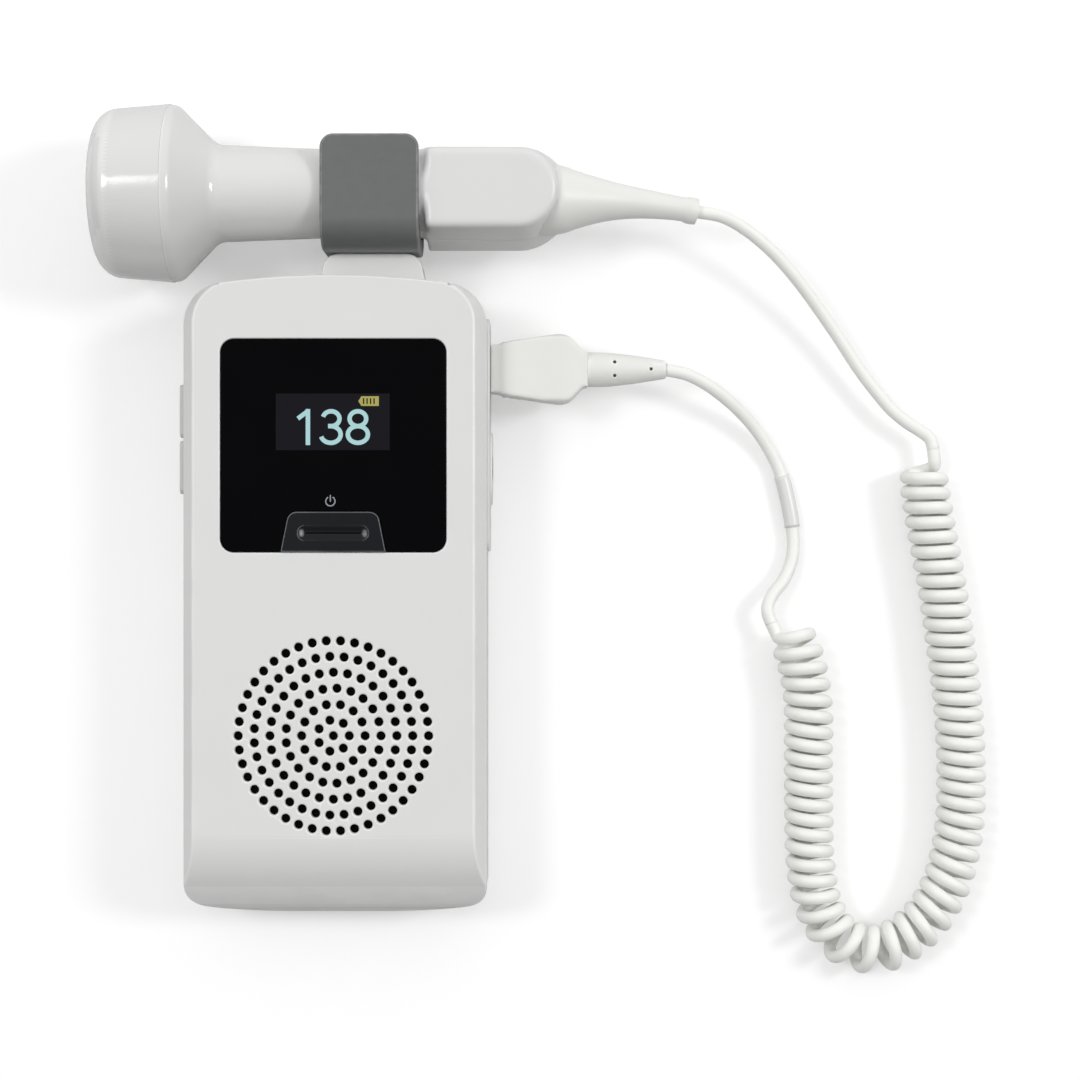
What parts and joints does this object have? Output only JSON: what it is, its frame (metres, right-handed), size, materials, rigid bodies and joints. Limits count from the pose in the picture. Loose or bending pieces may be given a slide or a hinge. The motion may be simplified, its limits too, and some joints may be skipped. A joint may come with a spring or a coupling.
{
  "type": "vascular doppler",
  "caption": "Pocket ultrasound doppler: display unit with speaker grille, a probe held across its top in an open clip, and a curly cord from the probe to the unit's side socket.",
  "frame": {"origin": "centre of the main unit's back face, which lies on the table", "axes": "+X to the side with the plug, +Y to the end with the clip and the probe, +Z out of the display"},
  "size_m": [0.237, 0.2314, 0.0467],
  "materials": {
    "white_shell": "glossy moulded shell",
    "window_black": "polished black window",
    "panel_black": "matte",
    "inner_grey": "matte",
    "button_charcoal": "satin",
    "key_grey": "satin",
    "inner_metal": "bright",
    "board_green": "solder mask",
    "screw_steel": "satin",
    "speaker_steel": "satin",
    "cone_black": "matte",
    "cloth_black": "woven",
    "contact_gold": "plated",
    "pack_grey": "wrapped cell",
    "clip_grey": "satin",
    "probe_white": "glossy moulded shell",
    "crystal": "ceramic",
    "backing_grey": "filled resin",
    "seal_black": "matte",
    "cord_white": "satin cord jacket",
    "sleeve_white": "satin",
    "plug_white": "satin"
  },
  "bodies": {
    "main_unit": {"front_cover": "white_shell", "rear_cover": "white_shell", "connector_panel": "white_shell", "display_window": "window_black", "oled_panel": "panel_black", "display_holder": "inner_grey", "power_switch": "inner_metal", "volume_switches": "inner_metal", "circuit_board": "board_green", "board_parts": "panel_black", "board_screws": "screw_steel", "speaker_frame": "speaker_steel", "speaker_cone": "cone_black", "speaker_magnet": "speaker_steel", "dust_cloth": "cloth_black", "probe_socket": "inner_metal", "socket_tongue": "panel_black", "socket_contacts": "contact_gold", "earphone_socket": "panel_black", "battery_pack": "pack_grey", "battery_contacts": "contact_gold", "case_screws": "screw_steel", "holder_mount": "white_shell", "probe_clip": "clip_grey", "clip_screws": "screw_steel", "curly_cord": "cord_white"},
    "power_button": {"power_button": "button_charcoal"},
    "volume_up": {"volume_up_button": "key_grey"},
    "volume_down": {"volume_down_button": "key_grey"},
    "battery_door": {"battery_door": "white_shell"},
    "probe": {"probe_cap": "probe_white", "probe_upper_shell": "probe_white", "probe_lower_shell": "probe_white", "crystal_discs": "crystal", "crystal_backing": "backing_grey", "probe_seal": "seal_black", "probe_board": "board_green", "probe_relief": "cord_white", "probe_lead": "cord_white"},
    "plug": {"plug_relief": "cord_white", "plug_grip": "plug_white", "plug_shell": "inner_metal", "plug_insulator": "panel_black", "plug_contacts": "contact_gold", "plug_lead": "cord_white", "cord_sleeve": "sleeve_white"}
  },
  "joints": [
    {"name": "power_press", "type": "slide", "parent": "main_unit", "child": "power_button", "axis": [0, 0, -1], "range_m": [0, 0.0005], "stiffness_N_per_m": 1500},
    {"name": "volume_up_press", "type": "slide", "parent": "main_unit", "child": "volume_up", "axis": [1, 0, 0], "range_m": [0, 0.0004], "stiffness_N_per_m": 1500},
    {"name": "volume_down_press", "type": "slide", "parent": "main_unit", "child": "volume_down", "axis": [1, 0, 0], "range_m": [0, 0.0004], "stiffness_N_per_m": 1500},
    {"name": "battery_door_slide", "type": "slide", "parent": "main_unit", "child": "battery_door", "axis": [0, -1, 0], "range_m": [0, 0.072]},
    {"name": "probe_lift", "type": "slide", "parent": "main_unit", "child": "probe", "axis": [0, 1, 0], "range_m": [0, 0.04], "deforming": ["probe_lead"]},
    {"name": "plug_pull", "type": "slide", "parent": "main_unit", "child": "plug", "axis": [1, 0, 0], "range_m": [0, 0.013], "deforming": ["plug_lead", "cord_sleeve"]}
  ]
}
